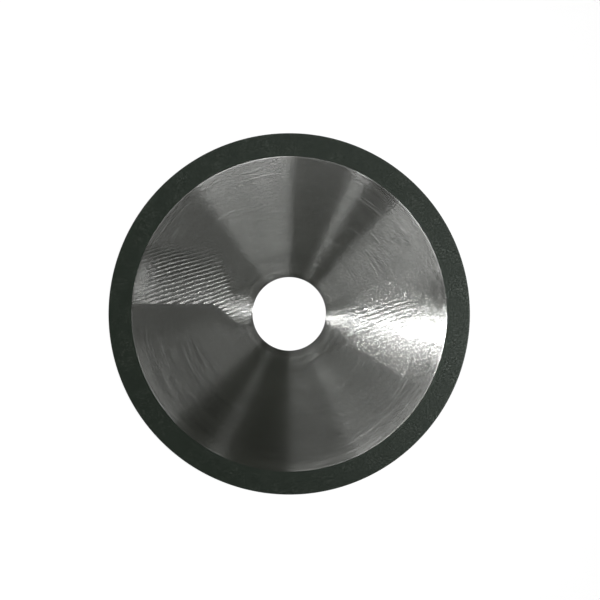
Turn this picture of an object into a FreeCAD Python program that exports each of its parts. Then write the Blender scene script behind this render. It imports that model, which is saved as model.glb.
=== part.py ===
"""Resin-bonded diamond cutting disc: a flat steel core with a continuous rim of diamond grit in cured resin.

The disc lies flat. The origin is the centre of the bore at half the thickness, and +Z runs along the axis.
All sizes are in millimetres.
"""

import FreeCAD, Part
import os

import Sketcher

doc = FreeCAD.newDocument("cutting_disc")

# Each row is one size that can be set by itself: its name, its value and what it measures.
SIZES = (
    ("disc_diameter", 125.0, "outside diameter of the rim"),
    ("bore_diameter", 25.4, "hole for a one inch arbor"),
    ("rim_width", 8.0, "radial width of the rim that shows outside the core"),
    ("core_thickness", 1.0, "thickness of the steel core"),
    ("side_relief", 0.1, "height of the rim above the core on each face"),
    ("bore_chamfer", 0.1, "deburred edge at each end of the bore"),
    ("rim_edge_break", 0.1, "worn corner at the outside of the rim"),
    ("shoulder_slope", 0.25, "radial run of the slope from the core's face down to its tongue"),
    ("tongue_thickness", 0.5, "thickness of the core's edge inside the rim"),
    ("tongue_length", 2.4, "radial length of that edge, from the seam to its tip"),
    ("notch_count", 36, "keying notches round the tongue"),
    ("notch_depth", 1.4, "radial depth of a notch from the tongue's tip"),
    ("notch_mouth", 1.2, "width of a notch at the tongue's tip"),
    ("notch_root", 1.9, "width of a notch at its bottom"),
)

sheet = doc.addObject("Spreadsheet::Sheet", "sizes")
for row, (name, value, meaning) in enumerate(SIZES, start=1):
    sheet.set(f"A{row}", name)
    sheet.set(f"B{row}", str(value))
    sheet.setAlias(f"B{row}", name)
    sheet.set(f"C{row}", meaning)
doc.recompute()

# Sizes that follow from the rows above, as expressions of the sheet.
BORE_RADIUS = "sizes.bore_diameter / 2"
OUTER_RADIUS = "sizes.disc_diameter / 2"
SEAM_RADIUS = f"{OUTER_RADIUS} - sizes.rim_width"
TONGUE_RADIUS = f"{SEAM_RADIUS} + sizes.tongue_length"
CORE_HALF = "sizes.core_thickness / 2"
RIM_HALF = f"{CORE_HALF} + sizes.side_relief"
TONGUE_HALF = "sizes.tongue_thickness / 2"


def origin_plane(body, role):
    """Give one of the body's own origin planes."""
    return next(feature for feature in body.Origin.OriginFeatures if feature.Role == role)


def outline_sketch(body, name, plane_role, corners):
    """Draw a closed outline of straight edges, each corner held by two expressions of the sheet."""
    sketch = body.newObject("Sketcher::SketchObject", name)
    sketch.AttachmentSupport = [(origin_plane(body, plane_role), "")]
    sketch.MapMode = "FlatFace"
    spots = [
        FreeCAD.Vector(float(sheet.evalExpression(across)), float(sheet.evalExpression(up)), 0)
        for across, up in corners
    ]
    for index, spot in enumerate(spots):
        following = spots[(index + 1) % len(spots)]
        sketch.addGeometry(Part.LineSegment(spot, following), False)
    for index in range(len(spots)):
        following = (index + 1) % len(spots)
        sketch.addConstraint(Sketcher.Constraint("Coincident", index, 2, following, 1))
    for index, (across, up) in enumerate(corners):
        spot = spots[index]
        level = sketch.addConstraint(Sketcher.Constraint("DistanceX", -1, 1, index, 1, spot.x))
        sketch.setExpression(f"Constraints[{level}]", across)
        height = sketch.addConstraint(Sketcher.Constraint("DistanceY", -1, 1, index, 1, spot.y))
        sketch.setExpression(f"Constraints[{height}]", up)
    doc.recompute()
    return sketch


def turned_solid(body, name, corners):
    """Turn a half section, given as radius and height, once round the disc's axis."""
    section = outline_sketch(body, f"{name}_section", "XZ_Plane", corners)
    turned = body.newObject("PartDesign::Revolution", f"{name}_turned")
    turned.Profile = section
    turned.ReferenceAxis = (section, ["V_Axis"])
    turned.Angle = 360
    doc.recompute()
    return turned


def cut_keying_notches(body):
    """Cut dovetail notches round the tongue, wider at the bottom than at the mouth, so the resin locks in."""
    bottom = f"{TONGUE_RADIUS} - sizes.notch_depth"
    tip = TONGUE_RADIUS
    beyond = f"{TONGUE_RADIUS} + sizes.notch_depth"
    sketch = outline_sketch(
        body,
        "notch_outline",
        "XY_Plane",
        (
            (bottom, "-sizes.notch_root / 2"),
            (tip, "-sizes.notch_mouth / 2"),
            (beyond, "-sizes.notch_mouth / 2"),
            (beyond, "sizes.notch_mouth / 2"),
            (tip, "sizes.notch_mouth / 2"),
            (bottom, "sizes.notch_root / 2"),
        ),
    )
    before = body.Shape.Volume
    notch = body.newObject("PartDesign::Pocket", "notch")
    notch.Profile = sketch
    notch.SideType = "Symmetric"
    notch.setExpression("Length", "sizes.core_thickness")
    doc.recompute()
    if notch.Shape.Volume >= before:
        raise RuntimeError("the notch cuts nothing")
    ring_of_notches = body.newObject("PartDesign::PolarPattern", "ring_of_notches")
    ring_of_notches.Originals = [notch]
    ring_of_notches.Axis = (sketch, ["N_Axis"])
    ring_of_notches.Angle = 360
    ring_of_notches.setExpression("Occurrences", "sizes.notch_count")
    body.Tip = ring_of_notches
    doc.recompute()


def make_steel_core():
    """The flat steel disc: bore with deburred edges, two ground faces, and a thinned, notched edge."""
    body = doc.addObject("PartDesign::Body", "steel_core")
    body.Label = "steel_core"
    bore_edge = f"{BORE_RADIUS} + sizes.bore_chamfer"
    bore_top = f"{CORE_HALF} - sizes.bore_chamfer"
    shoulder_foot = f"{SEAM_RADIUS} + sizes.shoulder_slope"
    turned_solid(
        body,
        "core",
        (
            (BORE_RADIUS, f"-({bore_top})"),
            (bore_edge, f"-({CORE_HALF})"),
            (SEAM_RADIUS, f"-({CORE_HALF})"),
            (shoulder_foot, f"-({TONGUE_HALF})"),
            (TONGUE_RADIUS, f"-({TONGUE_HALF})"),
            (TONGUE_RADIUS, TONGUE_HALF),
            (shoulder_foot, TONGUE_HALF),
            (SEAM_RADIUS, CORE_HALF),
            (bore_edge, CORE_HALF),
            (BORE_RADIUS, bore_top),
        ),
    )
    cut_keying_notches(body)
    return body


def make_diamond_rim(core):
    """The abrasive ring, moulded round the core's edge: it fills the notches and closes over the tongue."""
    blank = doc.addObject("PartDesign::Body", "rim_blank")
    edge_start = f"{OUTER_RADIUS} - sizes.rim_edge_break"
    edge_end = f"{RIM_HALF} - sizes.rim_edge_break"
    turned_solid(
        blank,
        "rim",
        (
            (SEAM_RADIUS, f"-({RIM_HALF})"),
            (edge_start, f"-({RIM_HALF})"),
            (OUTER_RADIUS, f"-({edge_end})"),
            (OUTER_RADIUS, edge_end),
            (edge_start, RIM_HALF),
            (SEAM_RADIUS, RIM_HALF),
        ),
    )
    rim = doc.addObject("Part::Cut", "diamond_rim")
    rim.Label = "diamond_rim"
    rim.Base = blank
    rim.Tool = core
    doc.recompute()
    return rim


def check_document():
    """Stop on any object of the document that didn't compute."""
    for item in doc.Objects:
        if "Invalid" in item.State or "Error" in item.State:
            raise RuntimeError(f"{item.Name} failed to compute")


def write_sub_part(item):
    """Write one sub-part to a file named after its label, once its shape is known to be sound."""
    shape = item.Shape
    if shape.isNull() or not shape.isValid() or len(shape.Solids) != 1:
        raise RuntimeError(f"{item.Label} isn't one sound solid")
    shape.exportStep(os.path.join("parts", f"{item.Label}.step"))
    print(f"{item.Label}: {shape.Volume:.1f} mm3")


steel_core = make_steel_core()
diamond_rim = make_diamond_rim(steel_core)
check_document()
os.makedirs("parts", exist_ok=True)
for sub_part in (steel_core, diamond_rim):
    write_sub_part(sub_part)
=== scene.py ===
"""Resin-bonded diamond cutting disc: the looks of its ground steel core and its diamond and resin rim."""

import math

import bpy
import numpy as np
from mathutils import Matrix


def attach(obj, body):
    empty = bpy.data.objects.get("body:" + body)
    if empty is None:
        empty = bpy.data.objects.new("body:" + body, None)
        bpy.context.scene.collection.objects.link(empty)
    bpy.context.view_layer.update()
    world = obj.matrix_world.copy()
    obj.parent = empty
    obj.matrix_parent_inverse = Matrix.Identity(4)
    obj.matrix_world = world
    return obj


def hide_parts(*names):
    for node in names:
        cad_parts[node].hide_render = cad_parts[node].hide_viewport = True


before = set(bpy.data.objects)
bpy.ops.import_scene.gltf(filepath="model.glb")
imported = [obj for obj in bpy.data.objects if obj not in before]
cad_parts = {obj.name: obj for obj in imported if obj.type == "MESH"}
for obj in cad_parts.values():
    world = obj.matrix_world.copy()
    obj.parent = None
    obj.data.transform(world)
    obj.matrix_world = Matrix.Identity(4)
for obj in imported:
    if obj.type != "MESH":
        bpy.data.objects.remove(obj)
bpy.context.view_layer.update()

# Steel core
# The core is one thin steel blank with a reamed bore. Its faces are first ground straight across, then
# polished turning, and its edge is thinned to a tongue with dovetail notches that the rim is moulded round.
MM = 0.001
BORE_RADIUS = 12.7
BORE_EDGE = 0.1
SEAM_RADIUS = 54.5
CORE_HALF = 0.5
TONGUE_HALF = 0.25
SHOULDER_FOOT = 54.75
TONGUE_RADIUS = 56.9
NOTCHES = 36
NOTCH_DEPTH = 1.4
NOTCH_MOUTH = 1.2
NOTCH_ROOT = 1.9
COLUMNS_PER_NOTCH = 20
STEEL_COLUMNS = NOTCHES * COLUMNS_PER_NOTCH
BOTTOM_COLUMNS = 2
CORNER_ROWS = 4
FACE_ROWS = 24
GUARD = 0.04
EDGE_FALL = 0.03
EDGE_WIDTH = 0.35
SCRIBED_RADIUS = 25.0
SCRIBED_WIDTH = 0.4
SCRIBED_DEPTH = 0.015
SCRIBED_ROWS = (-0.6, -0.5, 0.0, 0.5, 0.6)
SHARP_DEGREES = 25


def round_the_axis(columns):
    """Directions for evenly spaced columns round the axis: angle = 2 pi times column over columns."""
    angle = 2 * np.pi * np.arange(columns) / columns
    return np.stack([np.cos(angle), np.sin(angle)], axis=1)


def tongue_tip(columns):
    """Plan of the tongue's tip, one point a column, in millimetres.

    A notch's bottom runs straight across, at the tongue's radius less the notch's depth, for BOTTOM_COLUMNS
    columns each way from its middle. The next column is a corner of its narrower mouth, and the rest follow
    the tongue's circle.
    """
    per = columns // NOTCHES
    step = np.arange(columns) % per
    signed = np.where(step > per / 2, step - per, step)
    bottom = np.abs(signed) <= BOTTOM_COLUMNS
    across = np.clip(signed / BOTTOM_COLUMNS, -1, 1) * NOTCH_ROOT / 2
    mouth_angle = NOTCH_MOUTH / 2 / TONGUE_RADIUS
    mouth_column = BOTTOM_COLUMNS + 1
    pitch_angle = 2 * np.pi / NOTCHES
    share = (np.abs(signed) - mouth_column) / (per / 2 - mouth_column)
    tip_angle = np.sign(signed) * (mouth_angle + share * (pitch_angle / 2 - mouth_angle))
    along = np.where(bottom, TONGUE_RADIUS - NOTCH_DEPTH, TONGUE_RADIUS * np.cos(tip_angle))
    across = np.where(bottom, across, TONGUE_RADIUS * np.sin(tip_angle))
    centre = pitch_angle * np.round((np.arange(columns) - signed) / per)
    x = along * np.cos(centre) - across * np.sin(centre)
    y = along * np.sin(centre) + across * np.cos(centre)
    return np.stack([x, y], axis=1)


def ring(plan, radius, height):
    """One ring of the section: the columns' directions times the radius, at the given height."""
    return np.column_stack([plan * np.reshape(radius, (-1, 1)), np.broadcast_to(height, len(plan))])


def corner(radius, height, size, start):
    """Radii and heights of a rounded corner: a quarter circle of the size, clockwise from the start angle."""
    angle = math.radians(start) - np.linspace(0, np.pi / 2, CORNER_ROWS)
    return radius + size * np.cos(angle), height + size * np.sin(angle)


def ring_mesh(name, loop):
    """Join a closed loop of rings into one closed skin of quads, with sharp edges where it bends sharply.

    The rings are in millimetres, with as many points each, and come in order round the section: outwards over
    the top of the piece and back inwards underneath, which makes the faces point out of it.
    """
    grid = np.stack(loop, axis=1) * MM
    columns, rows = grid.shape[:2]
    index = np.arange(columns * rows).reshape(columns, rows)
    after = np.roll(index, -1, axis=0)
    quads = np.stack([index, np.roll(index, -1, axis=1), np.roll(after, -1, axis=1), after], axis=-1)
    mesh = bpy.data.meshes.new(name)
    mesh.from_pydata(grid.reshape(-1, 3), [], quads.reshape(-1, 4))
    mesh.shade_smooth()
    mesh.set_sharp_from_angle(angle=math.radians(SHARP_DEGREES))
    piece = bpy.data.objects.new(name, mesh)
    bpy.context.scene.collection.objects.link(piece)
    return piece


def core_mesh():
    """Section of the core, from the bore's wall over the top face to the tongue, and back underneath.

    The face has one shallow scribed ring, and falls a little to the seam, where the rim's dressing caught it.
    A guard row just inside each end of the face keeps the smooth shading of the edges off its flat.
    """
    plan = round_the_axis(STEEL_COLUMNS)
    tip = tongue_tip(STEEL_COLUMNS)
    fall_start = SEAM_RADIUS - EDGE_WIDTH
    upper = []
    for radius, height in zip(*corner(BORE_RADIUS + BORE_EDGE, CORE_HALF - BORE_EDGE, BORE_EDGE, 180)):
        upper.append(ring(plan, radius, height))
    face = np.linspace(BORE_RADIUS + BORE_EDGE + GUARD, fall_start - GUARD, FACE_ROWS)
    groove = SCRIBED_RADIUS + SCRIBED_WIDTH * np.array(SCRIBED_ROWS)
    for radius in np.sort(np.concatenate([face, groove, [fall_start]])):
        upper.append(ring(plan, radius, CORE_HALF - SCRIBED_DEPTH * (radius == SCRIBED_RADIUS)))
    upper.append(ring(plan, SEAM_RADIUS, CORE_HALF - EDGE_FALL))
    upper.append(ring(plan, SHOULDER_FOOT, TONGUE_HALF))
    upper.append(np.column_stack([tip, np.full(len(tip), TONGUE_HALF)]))
    lower = [level * (1, 1, -1) for level in reversed(upper)]
    return ring_mesh("core_disc", upper + lower)


core_disc = core_mesh()


def node(tree, kind, **inputs):
    """Add a node of the kind, and set or link each named input: a socket is linked, a value is set.

    A name that is one of the node's own properties is set there, and _0 or _1 is an input by its number.
    """
    made = tree.nodes.new(kind)
    for name, value in inputs.items():
        if hasattr(made, name):
            setattr(made, name, value)
            continue
        socket = made.inputs[int(name[1:])] if name[1:].isdigit() else made.inputs[name.replace("_", " ")]
        if isinstance(value, bpy.types.NodeSocket):
            tree.links.new(value, socket)
        else:
            socket.default_value = value
    return made


def maths(tree, operation, *values):
    """A Math node's result for the values, in order."""
    made = node(tree, "ShaderNodeMath", operation=operation, **{f"_{i}": v for i, v in enumerate(values)})
    return made.outputs[0]


def vector_maths(tree, operation, *values):
    """A Vector Math node's result for the values, in order: a number for a length or a dot product."""
    made = node(
        tree, "ShaderNodeVectorMath", operation=operation, **{f"_{i}": v for i, v in enumerate(values)}
    )
    return made.outputs["Value" if operation in ("LENGTH", "DOT_PRODUCT") else "Vector"]


def product(tree, *factors):
    """The factors multiplied."""
    result = factors[0]
    for factor in factors[1:]:
        result = maths(tree, "MULTIPLY", result, factor)
    return result


def plus(tree, base, amount, mask):
    """The base plus the amount times the mask."""
    return maths(tree, "MULTIPLY_ADD", mask, amount, base)


def scaled(tree, vector, factor):
    """A vector times a number."""
    made = node(tree, "ShaderNodeVectorMath", operation="SCALE", Vector=vector, Scale=factor)
    return made.outputs["Vector"]


def fade(tree, value, limits):
    """A smooth step from 0 to 1 as the value goes from the first limit up or down to the second."""
    low, high = limits
    made = node(tree, "ShaderNodeMapRange", interpolation_type="SMOOTHSTEP", _0=value, _1=low, _2=high)
    return made.outputs[0]


def noise(tree, vector, detail):
    """A noise value from 0 to 1, about one lump a unit of the vector."""
    made = node(tree, "ShaderNodeTexNoise", Vector=vector, Scale=1.0, Detail=detail)
    return made.outputs["Fac"]


def noise_vector(tree, vector, detail):
    """Three noise values from -0.5 to 0.5 as a vector, about one lump a unit of the given vector."""
    made = node(tree, "ShaderNodeTexNoise", Vector=vector, Scale=1.0, Detail=detail)
    return vector_maths(tree, "SUBTRACT", made.outputs["Color"], (0.5, 0.5, 0.5))


def new_material(name):
    """A node material with its Principled shader: gives the material, its tree and the shader."""
    material = bpy.data.materials.new(name)
    material.use_nodes = True
    tree = material.node_tree
    shader = tree.nodes["Principled BSDF"]
    return material, tree, shader


def tilt_normal(tree, shader, relief):
    """Tilt the shader's normal: the face's own normal plus the relief, made one long again."""
    upright = node(tree, "ShaderNodeNewGeometry").outputs["Normal"]
    normal = vector_maths(tree, "NORMALIZE", vector_maths(tree, "ADD", upright, relief))
    tree.links.new(normal, shader.inputs["Normal"])


# The steel's marks. Lengths are in millimetres, and a pair gives the limits of a fade. A side is the cosine
# of the bearing from the axis: 1 at the right and -1 at the left.
GRINDING_ACROSS = (-0.2756, 0.9613, 0.0)
GRINDING_ALONG = (0.9613, 0.2756, 0.0)
WANDER_LUMPS = 0.06
WANDER_DETAIL = 1.0


class SteelPlace:
    """Where a point of the steel's face lies, as the sockets that all its marks are worked out from.

    flat is the point without its height, radius its distance from the axis, and outward its direction, with
    the cosine and sine of its bearing. across and along are its distances across and along the first
    grinding, and wander is a slow noise that bends the marks of the grinding.
    """

    def __init__(self, tree):
        """Work the sockets out from Object coordinates."""
        place = node(tree, "ShaderNodeTexCoord").outputs["Object"]
        self.flat = scaled(tree, vector_maths(tree, "MULTIPLY", place, (1, 1, 0)), 1 / MM)
        self.radius = vector_maths(tree, "LENGTH", self.flat)
        self.outward = vector_maths(tree, "NORMALIZE", self.flat)
        self.x, self.y = node(tree, "ShaderNodeSeparateXYZ", Vector=self.flat).outputs[:2]
        self.cosine, self.sine = node(tree, "ShaderNodeSeparateXYZ", Vector=self.outward).outputs[:2]
        self.across = vector_maths(tree, "DOT_PRODUCT", self.flat, GRINDING_ACROSS)
        self.along = vector_maths(tree, "DOT_PRODUCT", self.flat, GRINDING_ALONG)
        self.wander = noise(tree, scaled(tree, self.flat, WANDER_LUMPS), WANDER_DETAIL)


# Turning: lines are counted a millimetre, and breaks a unit of the bearing's cosine or sine.
HAIR_LINES = 300.0
HAIR_BREAKS = 40.0
HAIR_LIMIT = 0.92
HAIR_SLOPE = 0.063
FINE_LINES = 4.2
FINE_BREAKS = 14.0
FINE_SLOPE = 0.08
TURNED_LINES = 2.2
TURNED_BREAKS = 4.0
SCRATCH_LINES = 2.4
SCRATCH_BREAKS = 3.0
SCRATCH_LEVELS = (0.64, 0.72)
SCRATCH_SLOPE = 0.05
ARC_DETAIL = 2.0


def turned_place(tree, at, lines, breaks):
    """A place for marks round the axis: radius times lines, and the cosine and sine times breaks."""
    made = node(
        tree,
        "ShaderNodeCombineXYZ",
        X=maths(tree, "MULTIPLY", at.radius, lines),
        Y=maths(tree, "MULTIPLY", at.cosine, breaks),
        Z=maths(tree, "MULTIPLY", at.sine, breaks),
    )
    return made.outputs[0]


def arcs(tree, at, lines, breaks):
    """Noise from 0 to 1 in thin arcs round the axis."""
    return noise(tree, turned_place(tree, at, lines, breaks), ARC_DETAIL)


def hairs(tree, at):
    """Hair lines round the axis, too fine to be seen one by one, that spread light out across them.

    Each short piece of each line draws a lot between the limit and its negative, and its tilt is the lot over
    the square root of one less the lot squared, so few lines are steep.
    """
    cell = vector_maths(tree, "FLOOR", turned_place(tree, at, HAIR_LINES, HAIR_BREAKS))
    lot = node(tree, "ShaderNodeTexWhiteNoise", Vector=cell).outputs["Value"]
    lot = plus(tree, -HAIR_LIMIT, 2 * HAIR_LIMIT, lot)
    rest = maths(tree, "SQRT", plus(tree, 1.0, -1.0, maths(tree, "MULTIPLY", lot, lot)))
    return maths(tree, "DIVIDE", lot, rest)


def turned_relief(tree, at, scratch):
    """Relief of the turning: hairs, fine arcs and scratches, each times its slope, along the way outwards."""
    fine = maths(tree, "SUBTRACT", arcs(tree, at, FINE_LINES, FINE_BREAKS), 0.5)
    tilt = maths(tree, "MULTIPLY", hairs(tree, at), HAIR_SLOPE)
    tilt = plus(tree, tilt, FINE_SLOPE, fine)
    tilt = plus(tree, tilt, SCRATCH_SLOPE, scratch)
    return scaled(tree, at.outward, tilt)


# Belt of the first grinding: the stop line, the inner end, the strip by the bore, and the top.
STOP_FALL = 10.0
STOP_FALL_X = (-28.0, -12.0)
STOP_LINE = (3.2, 4.0)
INNER_END_SLANT = 0.38
INNER_END = (-15.6, -17.6)
BORE_STRIP_Y = (6.8, 4.8)
BORE_STRIP_X = (-4.0, -8.0)
BELT_TOP = (36.0, 23.0)
RIMWARD = (46.0, 52.0)
CLEAR_OF_BORE = (19.0, 27.0)


class BeltMarks:
    """Where the marks of the first grinding still show, left of the bore.

    above is over the line where the polishing stopped, which lies lower near the bore. belt is the part of it
    that lies under the top, and either beyond the slanted inner end or in the strip by the bore. rimward is
    the end next to the rim, and clear_of_bore is what lies well outside the bore.
    """

    def __init__(self, tree, at):
        """Work the masks out from the place."""
        fall = maths(tree, "MULTIPLY", fade(tree, at.x, STOP_FALL_X), STOP_FALL)
        self.above = fade(tree, maths(tree, "ADD", at.y, fall), STOP_LINE)
        before_end = fade(tree, plus(tree, at.x, INNER_END_SLANT, at.y), INNER_END)
        bore_strip = product(tree, fade(tree, at.y, BORE_STRIP_Y), fade(tree, at.x, BORE_STRIP_X))
        under_top = fade(tree, at.across, BELT_TOP)
        self.belt = product(tree, self.above, maths(tree, "MAXIMUM", before_end, bore_strip), under_top)
        self.rimward = fade(tree, at.radius, RIMWARD)
        self.clear_of_bore = fade(tree, at.radius, CLEAR_OF_BORE)


# Scallops: their pitch and slopes, and where they are shallower.
GRINDING_PITCH = 1.3
SCALLOP_SHARPNESS = 2.2
SCALLOP_SLOPE = 0.085
SCALLOP_LEAN = 0.017
INNER_SCALLOP = 0.45
RIMWARD_EASE = 0.65
UPPER_SCALLOP = 0.13
UPPER_Y = (8.0, 14.0)
UPPER_X = (2.0, -4.0)


def scallop_relief(tree, at, marks):
    """Scallops of the first grinding: a sawtooth across it, with slow rises and sharp ends.

    The share of a pitch is raised to the sharpness, and the tilt runs with it from the lean less the slope to
    the lean plus the slope. It is full in the belt, less by the bore and by the rim, and faint above the bore
    on the left.
    """
    share = maths(tree, "FRACT", maths(tree, "MULTIPLY_ADD", at.across, 1 / GRINDING_PITCH, at.wander))
    share = maths(tree, "POWER", share, SCALLOP_SHARPNESS)
    slope = plus(tree, SCALLOP_LEAN - SCALLOP_SLOPE, 2 * SCALLOP_SLOPE, share)
    by_bore = plus(tree, INNER_SCALLOP, 1 - INNER_SCALLOP, marks.clear_of_bore)
    depth = product(tree, marks.belt, by_bore, plus(tree, 1.0, -RIMWARD_EASE, marks.rimward))
    upper = product(tree, fade(tree, at.y, UPPER_Y), fade(tree, at.x, UPPER_X))
    depth = plus(tree, depth, UPPER_SCALLOP, upper)
    return scaled(tree, GRINDING_ACROSS, product(tree, slope, depth))


# Grain: lumps a millimetre, and slopes.
GRAIN_ACROSS = 2.8
GRAIN_ALONG = 1.5
GRAIN_DETAIL = 1.0
SMOOTH_GRAIN = 0.015
BELT_GRAIN = 0.06
RIMWARD_GRAIN = 0.13
PATCH_GRAIN = 0.07
PATCH_MIDDLE = -0.5
PATCH_SPREAD = 0.4
PATCH_INSET = 2.0
PATCH_LEAST = 1.0
PATCH_FADE = (1.7, 0.5)
PATCH_X = (8.0, 12.0)


def grain_relief(tree, at, marks):
    """Grain of the grinding, longer along it than across, which tilts the steel anyhow.

    It is faint everywhere, and stronger in the belt on the left and in a patch on the right, which widens
    outwards: its half width is the spread times x less the inset, and never under the least.
    """
    half_width = maths(tree, "MULTIPLY_ADD", at.x, PATCH_SPREAD, -PATCH_INSET)
    half_width = maths(tree, "MAXIMUM", half_width, PATCH_LEAST)
    off_middle = maths(tree, "ABSOLUTE", maths(tree, "SUBTRACT", at.y, PATCH_MIDDLE))
    patch = fade(tree, maths(tree, "DIVIDE", off_middle, half_width), PATCH_FADE)
    patch = product(tree, patch, fade(tree, at.x, PATCH_X))
    place = node(
        tree,
        "ShaderNodeCombineXYZ",
        X=maths(tree, "MULTIPLY", at.along, GRAIN_ALONG),
        Y=maths(tree, "MULTIPLY", at.across, GRAIN_ACROSS),
    )
    grain = noise_vector(tree, place.outputs[0], GRAIN_DETAIL)
    belt_grain = plus(tree, BELT_GRAIN, RIMWARD_GRAIN - BELT_GRAIN, marks.rimward)
    slope = plus(tree, SMOOTH_GRAIN, belt_grain, marks.belt)
    slope = plus(tree, slope, PATCH_GRAIN, patch)
    return scaled(tree, grain, slope)


# Glow on the right: its side, its widening and closing, and what flattens it.
GLOW_TURN = -0.06
GLOW_SIDE = (0.86, 0.93)
GLOW_START = 0.4
GLOW_WIDENING_X = (12.0, 34.0)
GLOW_CLOSING = 0.55
GLOW_CLOSING_RADII = (42.0, 52.0)
BRIGHT_MIDDLE = -4.6
BRIGHT_FADE = (6.0, 3.0)
BRIGHT_X = (24.0, 34.0)
BRIGHT_EASE = 0.6
CALM_EASE = 0.28
CALM_Y = (-2.0, 5.0)


def right_glow(tree, at):
    """How rough the steel is on the right, where the strongest light spreads out into a glow of fine dots.

    It grows outwards, shrinks again towards the rim, and is flatter along the bright middle and above it.
    """
    side = fade(tree, plus(tree, at.cosine, GLOW_TURN, at.sine), GLOW_SIDE)
    widening = plus(tree, GLOW_START, 1 - GLOW_START, fade(tree, at.x, GLOW_WIDENING_X))
    closing = plus(tree, 1.0, -GLOW_CLOSING, fade(tree, at.radius, GLOW_CLOSING_RADII))
    off_middle = maths(tree, "ABSOLUTE", maths(tree, "SUBTRACT", at.y, BRIGHT_MIDDLE))
    middle = product(tree, fade(tree, off_middle, BRIGHT_FADE), fade(tree, at.x, BRIGHT_X))
    flattened = plus(tree, 1.0, -BRIGHT_EASE, middle)
    calmer = plus(tree, 1.0, -CALM_EASE, fade(tree, at.y, CALM_Y))
    return product(tree, side, widening, closing, flattened, calmer)


# Waves on the right: their pitch and slope, and where they lie.
WAVE_PITCH = 1.5
WAVE_WANDER = 6.0
WAVE_SLOPE = 0.035
WAVE_X = (15.0, 22.0)
WAVE_RADII = (46.0, 38.0)
WAVE_LOW_Y = (-7.0, -11.0)


def wave_relief(tree, at, glow):
    """Even waves across the grinding on the right: a sine of the distance across, bent by the wander.

    They lie clear of the bore, and reach the rim only in the lower part.
    """
    drift = maths(tree, "MULTIPLY", at.wander, WAVE_WANDER)
    turns = maths(tree, "MULTIPLY_ADD", at.across, 2 * math.pi / WAVE_PITCH, drift)
    wave = maths(tree, "MULTIPLY", maths(tree, "SINE", turns), WAVE_SLOPE)
    inside = maths(tree, "MAXIMUM", fade(tree, at.radius, WAVE_RADII), fade(tree, at.y, WAVE_LOW_Y))
    zone = product(tree, fade(tree, at.x, WAVE_X), inside)
    return scaled(tree, GRINDING_ACROSS, product(tree, wave, glow, zone))


# Dots: lumps a millimetre, their slope, and how deep they are outside the glow.
DOT_LUMPS = 9.0
DOT_DETAIL = 0.0
DOT_SLOPE = 1.15
BORE_SIDE_DOTS = 0.6
RIMWARD_DOTS = 0.7


def dot_relief(tree, at, marks, glow, bore_side):
    """Fine dots: a noise vector times its own length, so most tilt little and a few catch the light.

    They lie in the glow on the right, beside the bore on the left, and at the belt's end next to the rim.
    """
    dot = noise_vector(tree, scaled(tree, at.flat, DOT_LUMPS), DOT_DETAIL)
    depth = plus(tree, glow, BORE_SIDE_DOTS, bore_side)
    depth = plus(tree, depth, RIMWARD_DOTS, product(tree, marks.belt, marks.rimward))
    return scaled(tree, dot, product(tree, depth, vector_maths(tree, "LENGTH", dot), DOT_SLOPE))


# Colour: the bare steel's, and what each mark adds to its tone. Some of these tones are painted light
# or shade.
STEEL_COLOUR = (0.558, 0.563, 0.545)
TURNED_TONE = 1.05
UPPER_TURNED = 0.4
LOWER_HALF = (0.5, -0.3)
SCRATCH_TONE = 0.4
INNER_TONE = 0.2
INNER_TONE_RADII = (42.0, 22.0)
# Painted highlight: the spot beside the bore on the left is painted lighter.
BORE_SIDE_HIGHLIGHT = 0.35
RIGHT_RIM_RADII = (47.0, 53.0)
RIGHT_RIM_SIDE = (0.86, 0.95)
RIGHT_RIM_TURNED = 1.0
# Painted shade: the steel at the right by the rim is painted darker, dimming the strong highlight there.
RIGHT_RIM_SHADE = -0.1
# Painted light: the lower half is painted lighter by the rim.
LOW_RIM_RADII = (50.0, 53.5)
LOW_RIM_SINE = (0.0, -0.4)
LOW_RIM_LIGHT = 0.3
FLANGE_RADII = (22.0, 20.8)
FLANGE_TONE = -0.12
RUBBED_RINGS = ((15.2, 0.7, 0.4), (17.4, 0.5, 0.3))
RUBBED_FULL = 0.3
# Painted shade: the bore's wall and rounded edge are painted darker.
BORE_WALL = (12.9, 12.82)
BORE_SHADE = 0.75


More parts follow.
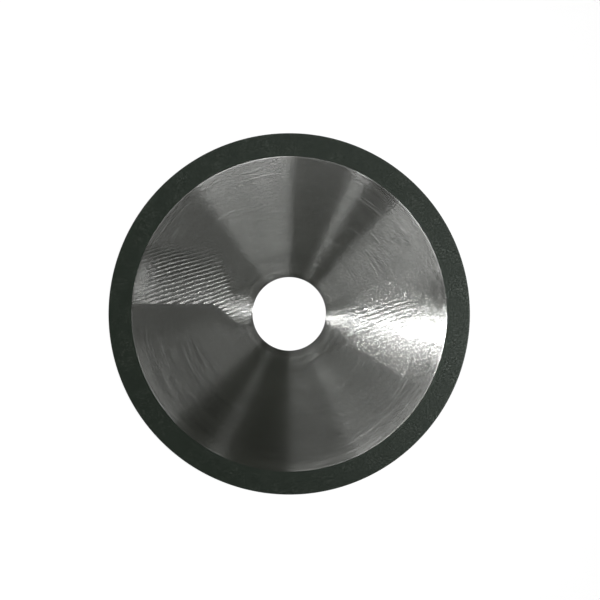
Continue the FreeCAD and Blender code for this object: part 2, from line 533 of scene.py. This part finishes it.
def steel_colour(tree, at, turned, scratch, bore_side):
    """The steel's colour times a tone: one, plus each mark's tone where the mark is.

    The turned arcs show most in the lower half and at the right by the rim. At the right by the rim the
    steel is also painted darker, a painted shade that dims the strong highlight there. The lower half is
    painted lighter by the rim, which is painted light, and the spot beside the bore on the left is painted
    lighter, a painted highlight. A clamping flange has dulled the steel round the bore and rubbed rings into
    it, each with a radius, a half width and a tone. The bore's wall and its rounded edge are painted darker:
    painted shade, for a wall that sees only the table.
    """
    lower = plus(tree, UPPER_TURNED, 1 - UPPER_TURNED, fade(tree, at.sine, LOWER_HALF))
    right_rim = product(tree, fade(tree, at.radius, RIGHT_RIM_RADII), fade(tree, at.cosine, RIGHT_RIM_SIDE))
    low_rim = product(tree, fade(tree, at.radius, LOW_RIM_RADII), fade(tree, at.sine, LOW_RIM_SINE))
    tones = [
        (TURNED_TONE, product(tree, turned, lower)),
        (SCRATCH_TONE, scratch),
        (INNER_TONE, fade(tree, at.radius, INNER_TONE_RADII)),
        # painted highlight beside the bore on the left
        (BORE_SIDE_HIGHLIGHT, bore_side),
        (RIGHT_RIM_TURNED, product(tree, right_rim, turned)),
        # painted shade at the right by the rim
        (RIGHT_RIM_SHADE, right_rim),
        # painted light by the rim in the lower half
        (LOW_RIM_LIGHT, low_rim),
        (FLANGE_TONE, fade(tree, at.radius, FLANGE_RADII)),
    ]
    for centre, half, amount in RUBBED_RINGS:
        off = maths(tree, "ABSOLUTE", maths(tree, "SUBTRACT", at.radius, centre))
        tones.append((amount, fade(tree, off, (half, RUBBED_FULL * half))))
    tone = 1.0
    for amount, mask in tones:
        tone = plus(tree, tone, amount, mask)
    # painted shade on the bore's wall and rounded edge
    tone = maths(tree, "MULTIPLY", tone, plus(tree, 1.0, -BORE_SHADE, fade(tree, at.radius, BORE_WALL)))
    return scaled(tree, STEEL_COLOUR, tone)


# Lay of the turning: how far up its centre lies on the left.
LEFT_SIDE = (-0.80, -0.93)
LAY_SHIFT = 5.5
UPPER_LAY_SHIFT = 3.0


def steel_lay(tree, at, marks):
    """Direction across the turned hairs, along which the steel is rough: straight out from the lay's centre.

    The centre is the axis, and on the left, clear of the bore, a point above it, higher below the stop line.
    """
    shift = plus(tree, LAY_SHIFT, UPPER_LAY_SHIFT - LAY_SHIFT, marks.above)
    shift = product(tree, fade(tree, at.cosine, LEFT_SIDE), marks.clear_of_bore, shift)
    lay_centre = node(tree, "ShaderNodeCombineXYZ", Y=shift).outputs[0]
    return vector_maths(tree, "NORMALIZE", vector_maths(tree, "SUBTRACT", at.flat, lay_centre))


# Finish: the shader's roughness, the spot beside the bore on the left, which has dots and a painted
# highlight, and where the reliefs start.
STEEL_ROUGHNESS = 0.160
BORE_SIDE_RADII = (25.0, 15.0)
BORE_SIDE = (-0.84, -0.95)
BORE_SIDE_Y = (-5.0, -0.5)
RELIEF_START = (12.9, 13.8)


def ground_steel():
    """Steel polished turning: smooth along each circle and rough across it, so lights show as radial fans.

    Its reliefs are slopes times directions, added up and faded out at the bore's edge.
    """
    material, tree, shader = new_material("ground_steel")
    at = SteelPlace(tree)
    marks = BeltMarks(tree, at)
    glow = right_glow(tree, at)
    turned = maths(tree, "SUBTRACT", arcs(tree, at, TURNED_LINES, TURNED_BREAKS), 0.5)
    scratch = fade(tree, arcs(tree, at, SCRATCH_LINES, SCRATCH_BREAKS), SCRATCH_LEVELS)
    bore_side = product(
        tree,
        fade(tree, at.radius, BORE_SIDE_RADII),
        fade(tree, at.cosine, BORE_SIDE),
        fade(tree, at.y, BORE_SIDE_Y),
    )
    relief = turned_relief(tree, at, scratch)
    for part in (
        scallop_relief(tree, at, marks),
        grain_relief(tree, at, marks),
        wave_relief(tree, at, glow),
        dot_relief(tree, at, marks, glow, bore_side),
    ):
        relief = vector_maths(tree, "ADD", relief, part)
    tilt_normal(tree, shader, scaled(tree, relief, fade(tree, at.radius, RELIEF_START)))
    tree.links.new(steel_lay(tree, at, marks), shader.inputs["Tangent"])
    tree.links.new(steel_colour(tree, at, turned, scratch, bore_side), shader.inputs["Base Color"])
    shader.inputs["Roughness"].default_value = STEEL_ROUGHNESS
    shader.inputs["Metallic"].default_value = 1.0
    shader.inputs["Anisotropic"].default_value = 1.0
    return material


core_disc.data.materials.append(ground_steel())
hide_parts("steel_core")
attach(core_disc, "root")

# Diamond rim
# Diamond grit and filler in dark phenolic resin, pressed and cured round the core's edge, so that it fills
# the notches of the tongue. It is then dressed flat, a little proud of the steel.
RIM_RADIUS = 62.48
RIM_HALF = 0.6
RIM_EDGE = 0.1
RIM_COLUMNS = 1080
RIM_FACE_ROWS = 27
GRIT_DEPTH = 0.010
GRIT_START = 0.6
GRIT_SEED = 11


def rim_mesh():
    """Section of the rim, from the groove over the seam and the face, round the outside, and back underneath.

    Faces and outer wall are sunk by grit: a random number from 0 to 1 for each point, averaged with its
    neighbours round the rim and across it, times the grit's depth. At the seam the face stays flat.
    """
    plan = round_the_axis(RIM_COLUMNS)
    tip = tongue_tip(RIM_COLUMNS)
    face = np.linspace(SEAM_RADIUS, RIM_RADIUS - RIM_EDGE, RIM_FACE_ROWS)
    arc_radius, arc_height = corner(RIM_RADIUS - RIM_EDGE, RIM_HALF - RIM_EDGE, RIM_EDGE, 90)
    radii = np.concatenate([face, arc_radius[1:]])
    heights = np.concatenate([np.full(RIM_FACE_ROWS, RIM_HALF), arc_height[1:]])
    outward = np.concatenate([np.zeros(RIM_FACE_ROWS), np.linspace(0, 1, CORNER_ROWS)[1:]])
    random = np.random.default_rng(GRIT_SEED).random((2, len(radii), RIM_COLUMNS))
    grit = (2 * random + np.roll(random, 1, axis=2) + np.roll(random, 1, axis=1)) / 4
    grit = GRIT_DEPTH * grit * np.clip((radii - SEAM_RADIUS) / GRIT_START, 0, 1)[:, None]
    sides = []
    for side in (0, 1):
        levels = [np.column_stack([tip, np.full(len(tip), TONGUE_HALF)])]
        levels.append(ring(plan, SHOULDER_FOOT, TONGUE_HALF))
        levels.append(ring(plan, SEAM_RADIUS, CORE_HALF))
        for radius, height, share, sunk in zip(radii, heights, outward, grit[side]):
            levels.append(ring(plan, radius - share * sunk, height - (1 - share) * sunk))
        sides.append(levels)
    lower = [level * (1, 1, -1) for level in reversed(sides[1])]
    return ring_mesh("rim_ring", sides[0] + lower)


rim_ring = rim_mesh()

# Finish of the bond: lumps and cells are counted a metre.
BOND_DARK = (0.0102, 0.0155, 0.0102, 1.0)
BOND_PALE = (0.0140, 0.0200, 0.0140, 1.0)
CRYSTAL_COLOUR = (0.05, 0.055, 0.045, 1.0)
BOND_ROUGHNESS = 0.35
BOND_SHEEN = (0.86, 0.96, 0.88, 1.0)
MOTTLE_LUMPS = 240.0
MOTTLE_DETAIL = 3.0
MOTTLE_LEVELS = (0.3, 0.7)
CLUSTER_LUMPS = 170.0
CLUSTER_DETAIL = 2.0
CLUSTER_LEVELS = (0.38, 0.62)
CRYSTAL_CELLS = 2200.0
CRYSTAL_LOTS = (0.72, 0.8)
CRYSTAL_EDGE = (0.55, 0.3)
PIT_LUMPS = 1700.0
PIT_DETAIL = 1.0
PIT_SLOPE = 0.15
CLUSTER_PITS = 0.2


def mixed(tree, share, first, second):
    """The first colour where the share is 0, and the second where it is 1."""
    made = node(tree, "ShaderNodeMix", data_type="RGBA", _0=share, _6=first, _7=second)
    return made.outputs[2]


def cured_bond():
    """Dull dark resin, mottled, with pits that tilt its normal anyhow and a few crystals that look pale.

    A crystal fills the middle of a cell whose lot is high, and crystals and deep pits come in clusters.
    """
    material, tree, shader = new_material("cured_bond")
    place = node(tree, "ShaderNodeTexCoord").outputs["Object"]
    mottle = noise(tree, scaled(tree, place, MOTTLE_LUMPS), MOTTLE_DETAIL)
    mottle = fade(tree, mottle, MOTTLE_LEVELS)
    clusters = noise(tree, scaled(tree, place, CLUSTER_LUMPS), CLUSTER_DETAIL)
    clusters = fade(tree, clusters, CLUSTER_LEVELS)
    cells = node(tree, "ShaderNodeTexVoronoi", Vector=scaled(tree, place, CRYSTAL_CELLS), Scale=1.0).outputs
    lot = node(tree, "ShaderNodeSeparateXYZ", Vector=cells["Color"]).outputs["X"]
    crystal = product(
        tree, fade(tree, lot, CRYSTAL_LOTS), clusters, fade(tree, cells["Distance"], CRYSTAL_EDGE)
    )
    colour = mixed(tree, crystal, mixed(tree, mottle, BOND_DARK, BOND_PALE), CRYSTAL_COLOUR)
    tree.links.new(colour, shader.inputs["Base Color"])
    pits = noise_vector(tree, scaled(tree, place, PIT_LUMPS), PIT_DETAIL)
    tilt_normal(tree, shader, scaled(tree, pits, plus(tree, PIT_SLOPE, CLUSTER_PITS, clusters)))
    shader.inputs["Roughness"].default_value = BOND_ROUGHNESS
    shader.inputs["Specular Tint"].default_value = BOND_SHEEN
    return material


rim_ring.data.materials.append(cured_bond())
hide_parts("diamond_rim")
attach(rim_ring, "root")

# Floor and backdrop
# The disc lies on a white table that runs to low white walls. From below, the table is clear under the disc,
# so that the underside can be seen, and what the underside reflects of it is dimmed, as in the disc's shade.
TABLE_GAP = 0.02
ROOM_HALF = 3.0
WALL_TOP = 0.8
WHITE = (1.0, 1.0, 1.0, 1.0)
CARD_COLOUR = (0.16, 0.16, 0.16, 1.0)
CARD_GLOW = 0.955
SHADED_LOSS = 0.7


def room_mesh(name, half, floor_height, wall_top):
    """A square floor with a wall on each side, open at the top, every face turned inwards."""
    square = np.array([(-half, -half), (half, -half), (half, half), (-half, half)])
    low = np.column_stack([square, np.full(4, floor_height)])
    high = np.column_stack([square, np.full(4, wall_top)])
    walls = [(i + 4, (i + 1) % 4 + 4, (i + 1) % 4, i) for i in range(4)]
    mesh = bpy.data.meshes.new(name)
    mesh.from_pydata(np.concatenate([low, high]), [], [(0, 1, 2, 3)] + walls)
    piece = bpy.data.objects.new(name, mesh)
    bpy.context.scene.collection.objects.link(piece)
    return piece


def white_card():
    """White card: it takes the lamps' light and the disc's shadow, and glows enough to be seen as white.

    It glows for the camera's rays and for those off or through something shiny, and less for shiny ones under
    the disc. From behind it is clear to every ray, but for the camera's where the disc doesn't lie.
    """
    material, tree, shader = new_material("white_card")
    shader.inputs["Base Color"].default_value = CARD_COLOUR
    shader.inputs["Roughness"].default_value = 1.0
    shader.inputs["Specular IOR Level"].default_value = 0.0
    shader.inputs["Emission Color"].default_value = WHITE
    place = node(tree, "ShaderNodeTexCoord").outputs["Object"]
    radius = vector_maths(tree, "LENGTH", vector_maths(tree, "MULTIPLY", place, (1, 1, 0)))
    inside_rim = maths(tree, "LESS_THAN", radius, RIM_RADIUS * MM)
    under_disc = product(tree, inside_rim, maths(tree, "GREATER_THAN", radius, BORE_RADIUS * MM))
    rays = node(tree, "ShaderNodeLightPath").outputs
    seen = maths(tree, "MAXIMUM", rays["Is Camera Ray"], rays["Is Glossy Ray"])
    seen = maths(tree, "MAXIMUM", seen, rays["Is Transmission Ray"])
    glow = plus(tree, CARD_GLOW, -SHADED_LOSS, product(tree, under_disc, rays["Is Glossy Ray"]))
    tree.links.new(product(tree, seen, glow), shader.inputs["Emission Strength"])
    back = node(tree, "ShaderNodeNewGeometry").outputs["Backfacing"]
    beside_disc = maths(tree, "SUBTRACT", rays["Is Camera Ray"], under_disc)
    see_through = product(tree, back, maths(tree, "LESS_THAN", beside_disc, 0.5))
    clear = node(tree, "ShaderNodeBsdfTransparent").outputs["BSDF"]
    card = node(tree, "ShaderNodeMixShader", _0=see_through, _1=shader.outputs["BSDF"], _2=clear)
    tree.links.new(card.outputs["Shader"], tree.nodes["Material Output"].inputs["Surface"])
    return material


table_and_walls = room_mesh("table_and_walls", ROOM_HALF, -(RIM_HALF + TABLE_GAP) * MM, WALL_TOP)
table_and_walls.data.materials.append(white_card())

# Lights and camera
# Soft panels stand close round the disc in a dim room, each with its own sector of the turned steel to light.
# The key panel leans over the disc and has a grid, so that it lights the far side more than the near one.
ROOM_SHADE = (0.0115, 0.0135, 0.0085, 1)
PANEL_DISTANCE = 0.18
PANEL_BOTTOM = 0.24
PANEL_TOP = 0.42
KEY_HEIGHT = 0.06
KEY_LEAN = 40
KEY_GRID = 77.8

world = bpy.data.worlds.new("room")
bpy.context.scene.world = world
world.use_nodes = True
world.node_tree.nodes["Background"].inputs["Color"].default_value = ROOM_SHADE


def panel(name, first, last, radiance, height=PANEL_TOP - PANEL_BOTTOM, lean=0, grid=180):
    """An upright soft panel, PANEL_DISTANCE from the axis, between two bearings clockwise from the right.

    Its width is twice the distance times the tangent of half the angle between the bearings. A lean in
    degrees turns its face down, and a grid narrows its beam to the angle.
    """
    bearing = -math.radians((first + last) / 2)
    lamp = bpy.data.lights.new(name, "AREA")
    lamp.shape = "RECTANGLE"
    lamp.size = 2 * PANEL_DISTANCE * math.tan(math.radians(last - first) / 2)
    lamp.size_y = height
    lamp.spread = math.radians(grid)
    lamp.energy = radiance * math.pi * lamp.size * lamp.size_y
    stand = bpy.data.objects.new(name, lamp)
    bpy.context.scene.collection.objects.link(stand)
    stand.location = (
        PANEL_DISTANCE * math.cos(bearing),
        PANEL_DISTANCE * math.sin(bearing),
        (PANEL_BOTTOM + PANEL_TOP) / 2,
    )
    stand.rotation_euler = (math.pi / 2 - math.radians(lean), 0, bearing + math.pi / 2)
    stand.visible_camera = False


panel("left_panel", -156, -127, 1.08)
panel("back_left_panel", -127, -108, 4.0)
panel("back_panel", -108, -90, 4.6)
panel("back_gap", -90, -66, 1.3)
panel("back_strip", -65.5, -60, 5.0)
panel("back_right_gap", -60, -46.2, 1.08)
panel("back_right_panel", -46.2, -13, 4.75)
panel("right_edge", -13, -7, 2.4)
panel("right_gap", -7, 5.2, 1.4)
panel("key_panel", 5.2, 10.2, 56.0, KEY_HEIGHT, KEY_LEAN, KEY_GRID)
panel("key_fill", 10.5, 21, 3.6)
panel("front_right_panel", 21, 40, 2.75)
panel("front_right_fill", 40, 66, 2.4)
panel("front_panel", 66, 90, 0.87)
panel("front_gap", 90, 115, 0.08)
panel("front_strip", 115, 121, 0.55)
panel("front_left_gap", 121, 137, 0.08)
panel("front_left_panel", 137, 165, 0.9)
panel("left_gap", 165, 180, 0.5)

# The camera looks straight down, and frames the disc at its size and place in a picture 600 pixels wide.
IMAGE_PIXELS = 600
DISC_PIXELS = 361.6
DISC_CENTRE = (289.25, 313.9)
CAMERA_HEIGHT = 0.7
pixel = 2 * RIM_RADIUS * MM / DISC_PIXELS
camera_data = bpy.data.cameras.new("camera")
camera_data.lens = camera_data.sensor_width * CAMERA_HEIGHT / (IMAGE_PIXELS * pixel)
camera = bpy.data.objects.new("camera", camera_data)
bpy.context.scene.collection.objects.link(camera)
camera.location = (
    (IMAGE_PIXELS / 2 - DISC_CENTRE[0]) * pixel,
    (DISC_CENTRE[1] - IMAGE_PIXELS / 2) * pixel,
    CAMERA_HEIGHT + RIM_HALF * MM,
)
bpy.context.scene.camera = camera
bpy.context.scene.view_settings.view_transform = "Standard"
bpy.context.scene.cycles.denoising_input_passes = "RGB"
